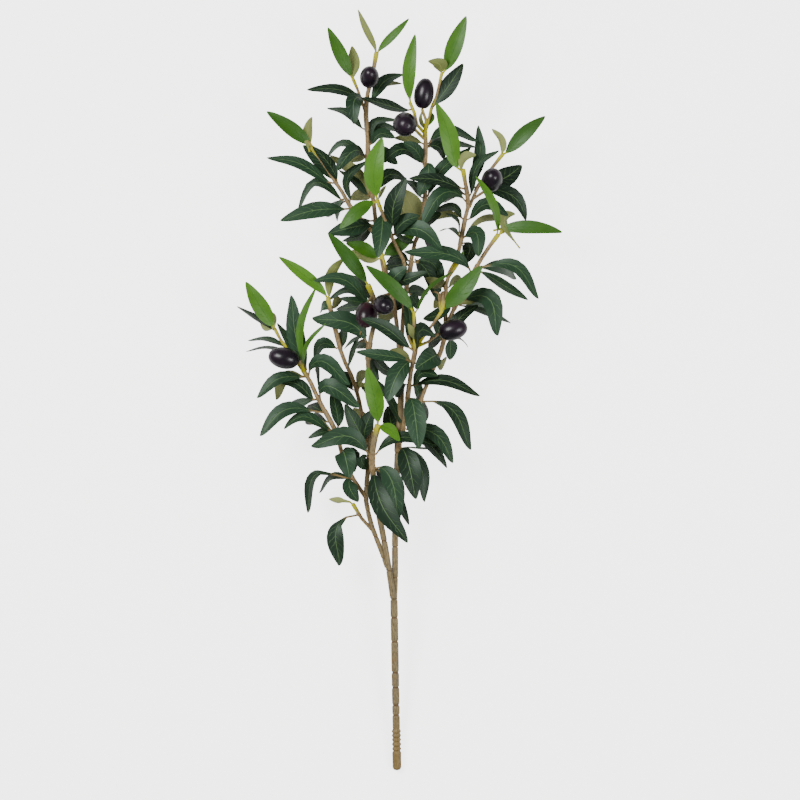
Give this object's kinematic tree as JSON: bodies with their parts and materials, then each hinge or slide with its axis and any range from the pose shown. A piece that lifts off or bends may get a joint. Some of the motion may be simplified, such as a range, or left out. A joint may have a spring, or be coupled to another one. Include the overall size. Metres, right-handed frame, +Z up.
{
  "type": "olive branch with fruit",
  "caption": "Cut olive spray lying flat: a ringed stem forks into thin twigs with narrow grey-green leaves, paler young shoots and dark ripe olives on short stalks.",
  "frame": {"origin": "centre of the bounding box in plan, at the table that the spray lies on", "axes": "+Y from the cut end of the stem to the leafy tips, +X to the right seen from above, +Z up from the table"},
  "size_m": [0.325, 0.762, 0.1144],
  "materials": {
    "bark": "matt grey-tan bark with fine lengthwise grain, yellow-green towards the shoots",
    "leaf_cloth": "satin leaf cloth, dark bluish green and khaki behind on old leaves, bright green and pale behind on young ones, with a fine pale midrib",
    "olive_skin": "smooth satin-gloss, near-black purple"
  },
  "bodies": {
    "root": {"main_stem": "bark", "olive_top": "olive_skin", "olive_tall": "olive_skin", "olive_front": "olive_skin", "olive_right": "olive_skin", "olive_centre": "olive_skin", "olive_ripening": "olive_skin", "olive_low_right": "olive_skin", "olive_left": "olive_skin", "right_stem": "bark", "middle_stem": "bark", "left_stem": "bark", "low_left_twig": "bark", "far_left_twig": "bark", "centre_left_twig": "bark", "tall_left_twig": "bark", "tall_right_twig": "bark", "upper_left_twig": "bark", "front_twig": "bark", "middle_twig": "bark", "right_twig": "bark", "upper_right_twig": "bark", "top_right_twig": "bark", "leaves_tall_left_twig_1": "leaf_cloth", "leaves_tall_left_twig_2": "leaf_cloth", "leaves_tall_left_twig_3": "leaf_cloth", "leaves_tall_left_twig_4": "leaf_cloth", "leaves_tall_left_twig_5": "leaf_cloth", "leaves_upper_left_twig_1": "leaf_cloth", "leaves_upper_left_twig_2": "leaf_cloth", "leaves_front_twig_1": "leaf_cloth", "leaves_tall_right_twig_1": "leaf_cloth", "leaves_tall_right_twig_2": "leaf_cloth", "leaves_tall_right_twig_3": "leaf_cloth", "leaves_upper_right_twig_1": "leaf_cloth", "leaves_upper_right_twig_2": "leaf_cloth", "leaves_upper_right_twig_3": "leaf_cloth", "leaves_top_right_twig_1": "leaf_cloth", "leaves_right_twig_1": "leaf_cloth", "leaves_right_twig_2": "leaf_cloth", "leaves_right_twig_3": "leaf_cloth", "leaves_right_twig_4": "leaf_cloth", "leaves_middle_twig_1": "leaf_cloth", "leaves_middle_twig_2": "leaf_cloth", "leaves_middle_twig_3": "leaf_cloth", "leaves_right_stem_1": "leaf_cloth", "leaves_middle_stem_1": "leaf_cloth", "leaves_far_left_twig_1": "leaf_cloth", "leaves_far_left_twig_2": "leaf_cloth", "leaves_far_left_twig_3": "leaf_cloth", "leaves_far_left_twig_4": "leaf_cloth", "leaves_centre_left_twig_1": "leaf_cloth", "leaves_centre_left_twig_2": "leaf_cloth", "leaves_centre_left_twig_3": "leaf_cloth", "leaves_left_stem_1": "leaf_cloth", "leaves_left_stem_2": "leaf_cloth", "leaves_low_left_twig_1": "leaf_cloth"}
  },
  "joints": []
}
